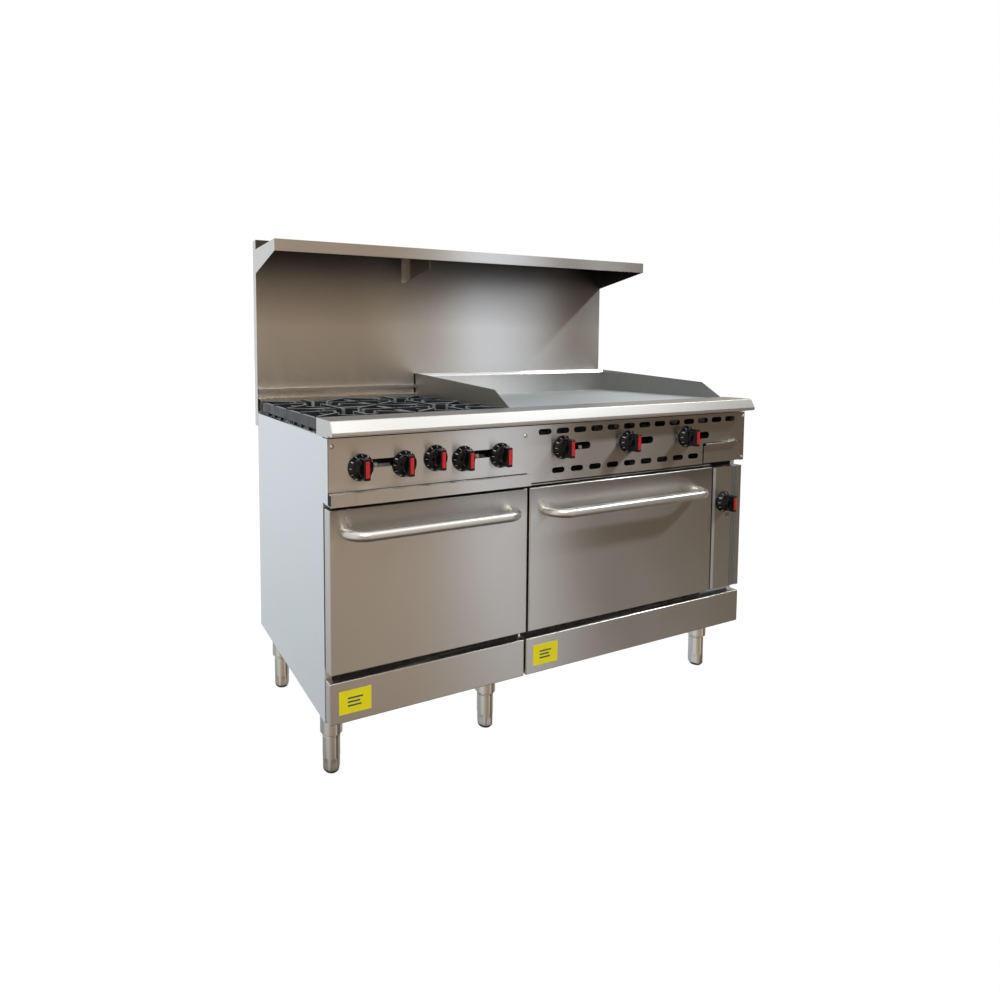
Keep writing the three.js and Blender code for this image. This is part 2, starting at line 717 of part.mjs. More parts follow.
// A wire rack that rests on the liner's side ledges.
function ovenRack({ side, cavity }) {
  const wire = 6;
  const x0 = cavity[0] + 2;
  const x1 = cavity[1] - 2;
  const y0 = 34;
  const y1 = 492;
  const z0 = RACK_Z - 0.5;
  const frame = cut(
    block(x0, x1, y0, y1, z0, z0 + wire),
    block(x0 + wire, x1 - wire, y0 + wire, y1 - wire, z0 - 1, z0 + wire + 1),
  );
  const pieces = [frame];
  const count = Math.round((x1 - x0) / 48);
  for (let i = 1; i < count; i += 1) {
    const x = Math.round(x0 + ((x1 - x0) * i) / count);
    pieces.push(block(x - 2, x + 2, y0 + 1, y1 - 1, z0 + 1.5, z0 + wire - 0.5));
  }
  const middle = (y0 + y1) / 2;
  pieces.push(block(x0 + 1, x1 - 1, middle - 3, middle + 3, z0 + 0.5, z0 + 4));
  add(`oven_rack_${side}`, join(...pieces), polished);
}

// Both oven burners hang on one supply tube that crosses behind the kick plates.
function ovenBurners() {
  const { y, z, radius } = OVEN_SUPPLY;
  const middles = OVENS.map(({ cavity }) => (cavity[0] + cavity[1]) / 2);
  const pieces = [tube([[middles[0], y, z], [middles[1], y, z]], radius, 8)];
  for (const x of middles) pieces.push(tube([[x, y - 5, z], [x, 485, z]], 22, 8));
  add("oven_burners", join(...pieces), castBurner);
}

// A hinge rod inside the foot of the door, held by two arms from the oven's front frame.
function doorHinge({ side, door }) {
  const [x0, x1] = door;
  const rod = tube([[x0 + 3, HINGE.y, HINGE.z], [x1 - 3, HINGE.y, HINGE.z]], HINGE.rod, 8);
  const arms = hingePlaces(door).map((x) =>
    block(x - 3, x + 3, HINGE.y - 3, FIT - 0.1, HINGE.z - 3, HINGE.z + 3),
  );
  add(`door_hinge_${side}`, join(rod, ...arms), galvanised);
}

function hingePlaces([x0, x1]) {
  return [x0 + HINGE_INSET, x1 - HINGE_INSET];
}

function ovenDoor(oven) {
  const { side, door } = oven;
  const [x0, x1] = door;
  const { front, back, bottom, top } = DOOR;
  const notches = hingePlaces(door).map((x) =>
    block(x - 6, x + 6, HINGE.y - 9, back + 1, bottom - 1, HINGE.z + 10),
  );
  const outer = pan(x0, x1, front, back, bottom, top, "+y");
  add(`oven_door_outer_${side}`, cut(outer, ...notches), stainless);

  const gap = SHEET + 0.5;
  const plateFront = back - 9;
  const sheet = block(x0 + gap, x1 - gap, plateFront, plateFront + SHEET, HINGE.z + 12, top - gap);
  const rim = 45;
  const field = pan(x0 + rim, x1 - rim, plateFront, back - 0.5, bottom + rim, top - rim, "-y");
  const hollow = block(
    x0 + rim + SHEET,
    x1 - rim - SHEET,
    plateFront - 1,
    back - 2,
    bottom + rim + SHEET,
    top - rim - SHEET,
  );
  add(`oven_door_inner_${side}`, cut(join(sheet, field), hollow), enamel);
  doorHinge(oven);
}

// A bowed tube whose two ends turn back into the door.
function doorHandle({ side, handle }) {
  const [x0, x1, z] = handle;
  const r = HANDLE.radius;
  const axisY = DOOR.front - HANDLE.reach + r;
  const { bend } = HANDLE;
  const foot = DOOR.front - FIT;
  const left = quarter([x0 + r + bend, axisY + bend, z], [-1, 0, 0], [0, -1, 0], bend, 6);
  const right = quarter([x1 - r - bend, axisY + bend, z], [0, -1, 0], [1, 0, 0], bend, 6);
  const route = [[x0 + r, foot, z], ...left, ...right, [x1 - r, foot, z]];
  add(`door_handle_${side}`, tube(route, r, 12), polished);
}

// ---------------------------------------------------------------- legs
function legs() {
  const { radius, bore, bottom } = LEG;
  const top = BODY_BOTTOM - FIT;
  for (const [place, x, y] of LEG_PLACES) {
    const sleeve = [
      [bore, bottom],
      [radius, bottom],
      [radius, top - 1],
      [0, top - 1],
      [0, FOOT.top + 20],
      [bore, FOOT.top + 20],
      [bore, bottom],
    ];
    const plate = block(x - 41, x + 41, y - 41, y + 41, top - 3, top);
    add(`leg_${place}`, join(upright(sleeve, 16, x, y), plate), polished);
    const foot = [
      [0, 0],
      [FOOT.tip, 0],
      [FOOT.tip + 3, 12],
      [FOOT.radius, 30],
      [FOOT.radius, FOOT.top],
      [0, FOOT.top],
    ];
    add(`foot_${place}`, upright(foot, 16, x, y), polished);
  }
}

sidePanels();
rearPanel();
baseFrame();
centerDivider();
kickPlates();
frontLedge();
controlPanel();
valvePanel();
crumbTray();
greaseDrawer();
backguard();
shelf();
griddle();
griddleBurner();
gasManifold();
topBurners();
grates();
knobs();
for (const oven of OVENS) {
  ovenLiner(oven);
  ovenRack(oven);
  ovenDoor(oven);
  doorHandle(oven);
}
ovenBurners();
legs();

export default range;
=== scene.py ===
# Commercial gas range: materials, fine pieces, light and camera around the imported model.
# Metres, +Z up, the front faces -Y.
import json
import math

import bmesh
import bpy
from mathutils import Matrix, Vector


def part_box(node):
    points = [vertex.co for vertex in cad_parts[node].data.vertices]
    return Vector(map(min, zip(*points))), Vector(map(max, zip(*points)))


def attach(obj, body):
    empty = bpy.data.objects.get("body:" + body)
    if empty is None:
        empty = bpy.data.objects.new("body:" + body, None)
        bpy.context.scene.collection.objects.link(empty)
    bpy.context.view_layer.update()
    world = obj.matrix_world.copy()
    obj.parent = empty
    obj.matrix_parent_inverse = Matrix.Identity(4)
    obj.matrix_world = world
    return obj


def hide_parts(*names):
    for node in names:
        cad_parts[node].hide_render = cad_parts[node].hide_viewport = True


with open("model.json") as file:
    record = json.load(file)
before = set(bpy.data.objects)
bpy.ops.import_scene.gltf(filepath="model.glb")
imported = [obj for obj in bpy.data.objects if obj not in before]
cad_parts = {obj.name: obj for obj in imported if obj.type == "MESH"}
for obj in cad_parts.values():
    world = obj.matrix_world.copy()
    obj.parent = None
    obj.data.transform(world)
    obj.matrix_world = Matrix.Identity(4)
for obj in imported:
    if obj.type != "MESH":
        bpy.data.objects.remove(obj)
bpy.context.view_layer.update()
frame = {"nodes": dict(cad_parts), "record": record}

MM = 0.001
PAN_WALL = 1.2 * MM
HINGE_INSET = 60 * MM  # hinge arms, in from each end of a door
HINGE_SLOT = 12 * MM  # width of the openings for them
BODY = "range"
NODE_BODY = {node: body for body, nodes in frame["record"]["behaviour"]["bodies"].items() for node in nodes}
OUTWARD = Matrix.Rotation(math.radians(90), 4, "X")  # turns local +Z to -Y, out of the front
BACKWARD = Matrix.Rotation(math.radians(-90), 4, "X")  # turns local +Z to +Y, out of the back
ALONG_X = Matrix(((0, 0, 1), (1, 0, 0), (0, 1, 0))).to_4x4()  # turns local X, Y, Z to Y, Z, X
SIDES = ("left", "right")
ROWS = ("front", "rear")


# ---------------------------------------------------------------- materials
def new_material(name, color, metallic, roughness):
    material = bpy.data.materials.new(name)
    material.use_nodes = True
    shader = material.node_tree.nodes["Principled BSDF"]
    shader.inputs["Base Color"].default_value = (*color, 1)
    shader.inputs["Metallic"].default_value = metallic
    shader.inputs["Roughness"].default_value = roughness
    return material, shader


def add_node(material, kind, **values):
    node = material.node_tree.nodes.new(kind)
    for name, value in values.items():
        setattr(node, name, value)
    return node


def link(material, source, target):
    material.node_tree.links.new(source, target)


EVEN = (1.0, 1.0, 1.0)


def object_noise(material, grain, scale, detail=2.0):
    """Noise in object space; grain scales each axis, so a small value draws a long streak."""
    coordinates = add_node(material, "ShaderNodeTexCoord")
    mapping = add_node(material, "ShaderNodeMapping")
    mapping.inputs["Scale"].default_value = grain
    link(material, coordinates.outputs["Object"], mapping.inputs["Vector"])
    noise = add_node(material, "ShaderNodeTexNoise")
    noise.inputs["Scale"].default_value = scale
    noise.inputs["Detail"].default_value = detail
    link(material, mapping.outputs["Vector"], noise.inputs["Vector"])
    return noise.outputs["Fac"]


def ramp_value(material, factor, low, high, start=0.3, end=0.7):
    remap = add_node(material, "ShaderNodeMapRange")
    remap.inputs["From Min"].default_value = start
    remap.inputs["From Max"].default_value = end
    remap.inputs["To Min"].default_value = low
    remap.inputs["To Max"].default_value = high
    link(material, factor, remap.inputs["Value"])
    return remap.outputs["Result"]


def mix_color(material, factor, first, second):
    """A blend of two colours, each a tuple or another node's socket; material may also be the world."""
    mix = add_node(material, "ShaderNodeMix", data_type="RGBA")
    for socket, color in ((mix.inputs[6], first), (mix.inputs[7], second)):
        if isinstance(color, tuple):
            socket.default_value = (*color, 1)
        else:
            link(material, color, socket)
    link(material, factor, mix.inputs[0])
    return mix.outputs[2]


def add_bump(material, shader, height, strength, distance):
    bump = add_node(material, "ShaderNodeBump")
    bump.inputs["Strength"].default_value = strength
    bump.inputs["Distance"].default_value = distance
    link(material, height, bump.inputs["Height"])
    link(material, bump.outputs["Normal"], shader.inputs["Normal"])


def vary(material, shader, color, roughness, noise, tint, spread):
    """Mottled colour and roughness around their middle values."""
    darker = tuple(c * (1 - tint) for c in color)
    lighter = tuple(min(1.0, c * (1 + tint)) for c in color)
    link(material, mix_color(material, noise, darker, lighter), shader.inputs["Base Color"])
    rough = ramp_value(material, noise, roughness - spread, roughness + spread)
    link(material, rough, shader.inputs["Roughness"])


def brushed_steel(name, color, roughness, grain, anisotropy=0.8):
    """Stainless sheet with a brushed grain: fine streaks, faint clouds and drawn-out highlights."""
    material, shader = new_material(name, color, 1.0, roughness)
    streaks = object_noise(material, grain, 1.0, 3.0)
    clouds = object_noise(material, EVEN, 2.5, 3.0)
    vary(material, shader, color, roughness, clouds, 0.03, 0.02)
    add_bump(material, shader, streaks, 0.08, 0.3 * MM)
    tangent = add_node(material, "ShaderNodeTangent", direction_type="RADIAL", axis="Z")
    link(material, tangent.outputs[0], shader.inputs["Tangent"])
    shader.inputs["Anisotropic"].default_value = anisotropy
    shader.inputs["Anisotropic Rotation"].default_value = 0.25
    return material


def cast_metal(name, color, metallic, roughness, grain_size, strength, tint=0.35):
    """As-cast metal: a pebbled skin with darker and rubbed patches."""
    material, shader = new_material(name, color, metallic, roughness)
    pebbles = object_noise(material, EVEN, grain_size, 4.0)
    patches = object_noise(material, EVEN, 14.0, 3.0)
    vary(material, shader, color, roughness, patches, tint, 0.1)
    add_bump(material, shader, pebbles, strength, 1 * MM)
    return material


def moulded(name, color, roughness, grain_size=900.0, strength=0.08, tint=0.08):
    """Moulded plastic, vinyl or enamel: a faint orange peel and slightly uneven gloss."""
    material, shader = new_material(name, color, 0.0, roughness)
    peel = object_noise(material, EVEN, grain_size)
    patches = object_noise(material, EVEN, 30.0)
    vary(material, shader, color, roughness, patches, tint, 0.04)
    add_bump(material, shader, peel, strength, 0.4 * MM)
    return material


def paint_faces_light_and_wear(material, facing, color, within=None):
    """A second colour on the faces that look one way, and within a stretch of places: painted shade and
    painted highlights, and on the grates also wear.

    facing and within are (axis, start, end): the colour grows from none at start to full at end.
    """
    shader = material.node_tree.nodes["Principled BSDF"]
    own = shader.inputs["Base Color"].links[0].from_socket
    coordinates = add_node(material, "ShaderNodeTexCoord")
    parts = add_node(material, "ShaderNodeSeparateXYZ")
    link(material, coordinates.outputs["Normal"], parts.inputs[0])
    axis, start, end = facing
    factor = ramp_value(material, parts.outputs[axis], 0.0, 1.0, start, end)
    if within:
        axis, start, end = within
        places = add_node(material, "ShaderNodeSeparateXYZ")
        link(material, coordinates.outputs["Object"], places.inputs[0])
        share = ramp_value(material, places.outputs[axis], 0.0, 1.0, start, end)
        both = add_node(material, "ShaderNodeMath", operation="MULTIPLY")
        link(material, factor, both.inputs[0])
        link(material, share, both.inputs[1])
        factor = both.outputs[0]
    link(material, mix_color(material, factor, own, color), shader.inputs["Base Color"])


X, Y, Z = 0, 1, 2
TO_FRONT = (Y, -0.5, -0.95)
TO_LEFT = (X, -0.5, -0.95)
DOWN = (Z, -0.5, -0.95)
UP = (Z, 0.5, 0.95)
FLAT_UP = (Z, 0.9, 0.99)

BRUSHED_X = (2.0, 40.0, 420.0)  # noise scales along X, Y and Z
BRUSHED_Y = (40.0, 2.0, 420.0)
UPRIGHT = (300.0, 300.0, 4.0)
GROUND_X = (3.0, 500.0, 500.0)

STEEL = (0.63, 0.605, 0.57)
stainless = brushed_steel("brushed_stainless", STEEL, 0.25, BRUSHED_X, 1.0)
door_steel = brushed_steel("door_steel", STEEL, 0.25, BRUSHED_X, 1.0)
# Painted shade: the doors' upward faces darker, and their fronts darker from 0.68 to 0.77 m up, above the
# handles.
paint_faces_light_and_wear(door_steel, UP, (0.25, 0.24, 0.22))
paint_faces_light_and_wear(door_steel, TO_FRONT, (0.30, 0.28, 0.26), within=(Z, 0.68, 0.77))
shelf_steel = brushed_steel("shelf_steel", STEEL, 0.25, BRUSHED_X, 1.0)
# Painted shade: the shelf's underside near black, and the inward face of its right end dark.
paint_faces_light_and_wear(shelf_steel, DOWN, (0.045, 0.042, 0.038))
paint_faces_light_and_wear(shelf_steel, TO_LEFT, (0.07, 0.066, 0.06), within=(X, 0.70, 0.72))
back_steel = brushed_steel("backguard_steel", STEEL, 0.25, BRUSHED_X, 1.0)
# Painted shade: the backguard's front darker towards the shelf, from 1.24 to 1.50 m up; painted highlight:
# its upward faces near white.
paint_faces_light_and_wear(back_steel, TO_FRONT, (0.10, 0.096, 0.09), within=(Z, 1.24, 1.50))
paint_faces_light_and_wear(back_steel, UP, (0.95, 0.90, 0.82))
satin_side = brushed_steel("satin_side_steel", (0.80, 0.82, 0.83), 0.42, BRUSHED_Y)
bright_ledge = brushed_steel("bright_ledge_steel", (0.66, 0.645, 0.62), 0.40, GROUND_X, 0.0)
# Painted shade: the ledge's flat top greyer.
paint_faces_light_and_wear(bright_ledge, FLAT_UP, (0.52, 0.525, 0.53))
# Painted highlight: a near-white copy of the steel for the splash's rolled hem.
hem_highlight = brushed_steel("bright_hem_steel", (0.90, 0.90, 0.89), 0.40, GROUND_X, 0.0)
# Painted shade: a darker, cooler copy of the steel for the valve panel's channel.
shaded_channel_steel = brushed_steel("channel_shade_steel", (0.42, 0.45, 0.46), 0.30, BRUSHED_X)
griddle_steel = brushed_steel("ground_griddle_plate", (0.76, 0.82, 0.86), 0.5, (4.0, 500.0, 60.0), 0.0)
# Painted shade and light on the splash: its side walls darker than the other steel, its front faces near
# white as a painted reflection, greyer from 0.15 to 0.5 m along X, and its flat tops near white as a
# painted highlight.
splash_steel = brushed_steel("splash_steel", (0.36, 0.37, 0.36), 0.42, BRUSHED_Y, 0.3)
paint_faces_light_and_wear(splash_steel, TO_FRONT, (0.92, 0.92, 0.90))
paint_faces_light_and_wear(splash_steel, TO_FRONT, (0.46, 0.46, 0.45), within=(X, 0.15, 0.5))
paint_faces_light_and_wear(splash_steel, FLAT_UP, (0.96, 0.96, 0.95))
leg_steel = brushed_steel("leg_steel", (0.66, 0.645, 0.62), 0.15, UPRIGHT, 0.0)
polished = brushed_steel("polished_tube", (0.80, 0.78, 0.74), 0.34, (8.0, 500.0, 500.0), 0.0)
wire = brushed_steel("plated_wire", (0.66, 0.66, 0.67), 0.26, UPRIGHT, 0.0)
galvanised = cast_metal("galvanised_sheet", (0.50, 0.52, 0.54), 1.0, 0.48, 60.0, 0.05, 0.2)
black_pipe = cast_metal("black_iron_pipe", (0.010, 0.010, 0.009), 0.0, 0.65, 200.0, 0.1, 0.12)
brass = cast_metal("brass", (0.36, 0.35, 0.28), 1.0, 0.40, 200.0, 0.1, 0.12)
cast_iron = cast_metal("cast_iron", (0.022, 0.028, 0.034), 0.35, 0.42, 380.0, 0.35)
# The grates' upward faces lighter: rubbed wear and painted highlight.
paint_faces_light_and_wear(cast_iron, (Z, 0.55, 0.95), (0.34, 0.36, 0.37))
pale_tip_iron = cast_metal("pale_tip_iron", (0.40, 0.42, 0.43), 0.9, 0.40, 380.0, 0.25)
cast_burner = cast_metal("cast_burner", (0.36, 0.44, 0.50), 0.35, 0.45, 300.0, 0.3, 0.25)
enamel = moulded("oven_enamel", (0.045, 0.046, 0.052), 0.28, 300.0, 0.15, 0.3)
black = moulded("black_phenolic", (0.005, 0.005, 0.006), 0.20)
black.node_tree.nodes["Principled BSDF"].inputs["Specular IOR Level"].default_value = 0.3
red = moulded("red_insert", (0.62, 0.012, 0.016), 0.25)
white = moulded("dial_white", (0.55, 0.56, 0.56), 0.4)
yellow = moulded("yellow_vinyl", (0.87, 0.80, 0.0), 0.35)
ink = moulded("label_ink", (0.05, 0.09, 0.12), 0.45)

BY_SLOT = {
    "stainless": stainless,
    "satin_side": satin_side,
    "bright_ledge": bright_ledge,
    "polished_tube": polished,
    "leg_steel": leg_steel,
    "griddle_steel": griddle_steel,
    "splash_steel": splash_steel,
    "galvanised": galvanised,
    "cast_iron": cast_iron,
    "cast_burner": cast_burner,
    "gas_train": black_pipe,
    "oven_enamel": enamel,
    "rack_wire": wire,
    "black_knob": black,
    "red_insert": red,
    "yellow_label": yellow,
}

BY_NODE = {"high_shelf": shelf_steel, "backguard": back_steel}

SOFT_EDGES = {  # bevel widths in mm, by CAD node
    "side_panel_left": 0.6, "side_panel_right": 0.6, "backguard": 0.5, "high_shelf": 0.5,
    "griddle_plate": 0.6, "griddle_splash": 0.8, "valve_panel": 0.9, "grease_drawer": 0.4,
    "grate_front_left": 1.4, "grate_front_right": 1.4, "grate_rear_left": 1.4, "grate_rear_right": 1.4,
}


def soften(piece, width):
    bevel = piece.modifiers.new("soft_edges", "BEVEL")
    bevel.width = width * MM
    bevel.segments = 2
    bevel.limit_method = "ANGLE"
    bevel.angle_limit = math.radians(40)
    bevel.harden_normals = True


def paint_frame():
    slots = {row["node"]: row["material_slot"] for row in frame["record"]["subparts"]}
    for node, piece in frame["nodes"].items():
        piece.data.materials.clear()
        piece.data.materials.append(BY_NODE.get(node) or BY_SLOT[slots[node]])
        if node in SOFT_EDGES:
            soften(piece, SOFT_EDGES[node])


# ---------------------------------------------------------------- mesh helpers
def corners(node):
    low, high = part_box(node)
    return Vector(low), Vector(high)


def new_piece(name, bm, material, body, sharp=35.0):
    bmesh.ops.recalc_face_normals(bm, faces=bm.faces)
    mesh = bpy.data.meshes.new(name)
    bm.to_mesh(mesh)
    bm.free()
    for face in mesh.polygons:
        face.use_smooth = True
    mesh.set_sharp_from_angle(angle=math.radians(sharp))
    mesh.materials.append(material)
    piece = bpy.data.objects.new(name, mesh)
    bpy.context.collection.objects.link(piece)
    weighted = piece.modifiers.new("flat_faces", "WEIGHTED_NORMAL")
    weighted.keep_sharp = True
    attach(piece, body)
    return piece


def rounded_box(bm, low, high, radius, segments=2):
    """A block with every edge rounded; corners and radius in metres."""
    low, high = Vector(low), Vector(high)
    place = Matrix.Translation((low + high) / 2) @ Matrix.Diagonal((*(high - low), 1))
    made = bmesh.ops.create_cube(bm, size=1, matrix=place)
    edges = list({edge for vert in made["verts"] for edge in vert.link_edges})
    bmesh.ops.bevel(bm, geom=edges, offset=radius, segments=segments, profile=0.5, affect="EDGES")


def add_part(bm, part, place):
    """Moves a finished part to its place and adds it to bm."""
    bmesh.ops.transform(part, matrix=place, verts=part.verts)
    mesh = bpy.data.meshes.new("part")
    part.to_mesh(mesh)
    part.free()
    bm.from_mesh(mesh)


def cut_foot(bm, x0, x1, y0, z1):
    """Opens a slot in the bottom sheet of a pan, from x0 to x1 and from y0 backwards."""
    for spot, normal in (((x0, 0, 0), (1, 0, 0)), ((x1, 0, 0), (1, 0, 0)), ((0, y0, 0), (0, 1, 0))):
        foot = [face for face in bm.faces if face.calc_center_median().z < z1]
        edges = {edge for face in foot for edge in face.edges}
        verts = {vert for face in foot for vert in face.verts}
        bmesh.ops.bisect_plane(bm, geom=foot + list(edges) + list(verts), plane_co=spot, plane_no=normal)
    middles = [(face, face.calc_center_median()) for face in bm.faces]
    slot = [face for face, middle in middles if x0 < middle.x < x1 and middle.y > y0 and middle.z < z1]
    bmesh.ops.delete(bm, geom=slot, context="FACES")


def folded_pan(bm, low, high, radius, slots=()):
    """A pan of folded sheet, open at the back, with round outer folds and slots in its foot."""
    low, high = Vector(low), Vector(high)
    place = Matrix.Translation((low + high) / 2) @ Matrix.Diagonal((*(high - low), 1))
    made = bmesh.ops.create_cube(bm, size=1, matrix=place)
    faces = list({face for vert in made["verts"] for face in vert.link_faces})
    open_face = max(faces, key=lambda face: face.calc_center_median().y)
    rim = set(open_face.edges)
    folds = [edge for face in faces for edge in face.edges if edge not in rim]
    bmesh.ops.delete(bm, geom=[open_face], context="FACES_ONLY")
    bmesh.ops.bevel(bm, geom=list(set(folds)), offset=radius, segments=4, profile=0.5, affect="EDGES")
    centre = (low + high) / 2
    centre.y = high.y
    for face in bm.faces:
        if face.normal.dot(face.calc_center_median() - centre) < 0:
            face.normal_flip()
    for slot in slots:
        cut_foot(bm, *slot)
    bmesh.ops.solidify(bm, geom=list(bm.faces), thickness=PAN_WALL)


def lathe(bm, profile, place, segments, radius_at=None):
    """Turns (radius, height) pairs in mm about the local Z axis of place."""
    rings = []
    for radius, height in profile:
        if radius == 0:
            rings.append([bm.verts.new(place @ Vector((0, 0, height * MM)))])
            continue
        ring = []
        for i in range(segments):
            angle = 2 * math.pi * i / segments
            reach = radius_at(radius, height, angle) if radius_at else radius
            spot = Vector((reach * math.cos(angle), reach * math.sin(angle), height)) * MM
            ring.append(bm.verts.new(place @ spot))
        rings.append(ring)
    for lower, upper in zip(rings, rings[1:]):
        for i in range(segments):
            j = (i + 1) % segments
            if len(lower) == 1:
                bm.faces.new((lower[0], upper[i], upper[j]))
            elif len(upper) == 1:
                bm.faces.new((lower[i], lower[j], upper[0]))
            else:
                bm.faces.new((lower[i], lower[j], upper[j], upper[i]))
    for ring in (rings[0], rings[-1]):
        if len(ring) > 1:
            bm.faces.new(ring)


def tube(bm, points, radius, sides):
    """A round bar through points, in metres, with flat ends."""
    points = [Vector(point) for point in points]
    side = None
    rings = []
    for i, point in enumerate(points):
        before = points[max(i - 1, 0)]
        after = points[min(i + 1, len(points) - 1)]
        along = (after - before).normalized()
        if side is None:
            side = along.orthogonal()
        side = (side - along * side.dot(along)).normalized()
        up = along.cross(side)
        ring = []
        for k in range(sides):
            angle = 2 * math.pi * k / sides
            ring.append(bm.verts.new(point + radius * (side * math.cos(angle) + up * math.sin(angle))))
        rings.append(ring)
    for lower, upper in zip(rings, rings[1:]):
        for k in range(sides):
            n = (k + 1) % sides
            bm.faces.new((lower[k], lower[n], upper[n], upper[k]))
    bm.faces.new(rings[0])
    bm.faces.new(rings[-1])


def prism(bm, outline, place, depth):
    """An outline of (u, v) pairs in mm, run depth mm along local Z of place."""
    low = [bm.verts.new(place @ (Vector((u, v, 0)) * MM)) for u, v in outline]
    high = [bm.verts.new(place @ (Vector((u, v, depth)) * MM)) for u, v in outline]
    bm.faces.new(low)
    bm.faces.new(high)
    for i in range(len(outline)):
        j = (i + 1) % len(outline)
        bm.faces.new((low[i], low[j], high[j], high[i]))


def rounded(points, radii, steps=5):
    """The outline with each corner replaced by an arc of its radius."""
    outline = []
    for i, corner in enumerate(points):
        here = Vector(corner)
        radius = radii[i]
        if radius == 0:
            outline.append(tuple(here))
            continue
        back = (Vector(points[i - 1]) - here).normalized()
        ahead = (Vector(points[(i + 1) % len(points)]) - here).normalized()
        half = back.angle(ahead) / 2
        run = radius / math.tan(half)
        centre = here + (back + ahead).normalized() * (radius / math.sin(half))
        first, last = here + back * run - centre, here + ahead * run - centre
        for k in range(steps + 1):
            mixed = first.lerp(last, k / steps).normalized() * radius
            outline.append(tuple(centre + mixed))
    return outline


# ---------------------------------------------------------------- knobs
KNOB_PROFILE = [  # radius and height above the panel, mm
    (4, 0.5), (33.7, 0.5), (34.8, 1.4), (35.0, 3), (34.4, 4.8), (28.8, 13.6), (27.2, 15.0), (23.6, 16.0),
    (20.4, 17.4), (19.0, 20), (18.0, 25.6), (16.6, 27), (0, 27.3),
]
TICKS = 12


def dial_tick(bm, place, angle, width):
    """A raised white mark on the sloping flank of the skirt."""
    out = Vector((math.cos(angle), math.sin(angle), 0))
    across = Vector((-math.sin(angle), math.cos(angle), 0))
    foot = out * 33.6 + Vector((0, 0, 6.0))
    head = out * 29.6 + Vector((0, 0, 12.2))
    normal = (head - foot).cross(across).normalized()
    if normal.dot(out) < 0:
        normal = -normal
    spots = []
    for end in (foot, head):
        for side in (-0.5, 0.5):
            for lift in (-0.5, 0.35):
                spots.append(bm.verts.new(place @ ((end + across * width * side + normal * lift) * MM)))
    for a, b, c, d in ((0, 1, 3, 2), (4, 6, 7, 5), (0, 4, 5, 1), (2, 3, 7, 6), (0, 2, 6, 4), (1, 5, 7, 3)):
        bm.faces.new((spots[a], spots[b], spots[c], spots[d]))


def knob(node, panel_y):
    """A black dial with a raised grip, its red insert and the white ticks round its skirt."""
    low, high = corners(node)
    body = NODE_BODY[node]
    place = Matrix.Translation(((low.x + high.x) / 2, panel_y, (low.z + high.z) / 2)) @ OUTWARD
    stem = (panel_y - high.y) / MM
    bm = bmesh.new()
    lathe(bm, [(0, stem), (4, stem)] + KNOB_PROFILE, place, 56)
    grip = bmesh.new()
    rounded_box(grip, Vector((-8.6, -27, 10)) * MM, Vector((8.6, 27, 43.6)) * MM, 2.6 * MM, 3)
    rounded_box(grip, Vector((-11.5, -22, 9)) * MM, Vector((11.5, 22, 25.5)) * MM, 4 * MM, 3)
    add_part(bm, grip, place)
    piece = new_piece(node.replace("knob", "dial"), bm, black, body)
    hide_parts(node)

    bm = bmesh.new()
    rounded_box(bm, Vector((-5.2, -20, 42)) * MM, Vector((5.2, 21.5, 45)) * MM, 1.0 * MM)
    bmesh.ops.transform(bm, matrix=place, verts=bm.verts)
    new_piece(node + "_insert", bm, red, body)

    bm = bmesh.new()
    for i in range(TICKS):
        width = 2.4 if i % 3 == 0 else 1.1
        dial_tick(bm, place, math.radians(60) + 2 * math.pi * i / TICKS, width)
    new_piece(node + "_ticks", bm, white, body)


def knobs():
    panel_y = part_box("control_panel")[0][1]
    for i in range(4):
        knob(f"burner_knob_{i + 1}", panel_y)
    knob("oven_knob_left", panel_y)
    for i in range(3):
        knob(f"griddle_knob_{i + 1}", panel_y)
    knob("oven_knob_right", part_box("valve_panel")[0][1])


# ---------------------------------------------------------------- folded steel fronts
def hinge_slots(side, low, high):
    """Openings in the foot of a door for the two hinge arms, as (x0, x1, y0, z1)."""
    rod_low, rod_high = corners(f"door_hinge_{side}")
    rod_y = rod_low.y + (rod_high.z - rod_low.z) / 2
    starts = (low.x + HINGE_INSET - HINGE_SLOT / 2, high.x - HINGE_INSET - HINGE_SLOT / 2)
    return [(x, x + HINGE_SLOT, rod_y - 9 * MM, low.z + 5 * MM) for x in starts]


def steel_fronts():
    """Kick plates and door skins with round folds."""
    for side in SIDES:
        for node, radius in ((f"kick_plate_{side}", 3.2), (f"oven_door_outer_{side}", 3.5)):
            low, high = corners(node)
            bm = bmesh.new()
            is_door = "door" in node
            slots = hinge_slots(side, low, high) if is_door else ()
            folded_pan(bm, low, high, radius * MM, slots)
            steel = door_steel if is_door else stainless
            piece = new_piece(node + "_skin", bm, steel, NODE_BODY[node], 50)
            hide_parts(node)


def front_ledge():
    """The rolled ledge over the control panel, with a thin plate on each end."""
    low, high = corners("front_ledge")
    panel_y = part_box("control_panel")[0][1]
    depth = (high.y - low.y) / MM
    tall = (high.z - low.z) / MM
    skirt = (panel_y - low.y) / MM - 1
    points = [
        (depth, 0), (depth, tall), (15, tall), (0, 15.2), (0, 7.2), (4, 7.2), (4, 5.2),
        (skirt, 5.2), (skirt, 0),
    ]
    radii = [0, 1, 5, 3.2, 1.5, 0, 0, 1, 1]
    place = Matrix.Translation(low) @ ALONG_X
    bm = bmesh.new()
    outline = rounded(points, radii)
    plate = 2.0
    inset = plate + 0.4
    length = (high.x - low.x) / MM
    prism(bm, outline, place @ Matrix.Translation((0, 0, inset * MM)), length - 2 * inset)
    for start in (0, length - plate):
        prism(bm, outline, place @ Matrix.Translation((0, 0, start * MM)), plate)
    piece = new_piece("rolled_front_ledge", bm, bright_ledge, BODY, 40)
    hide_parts("front_ledge")


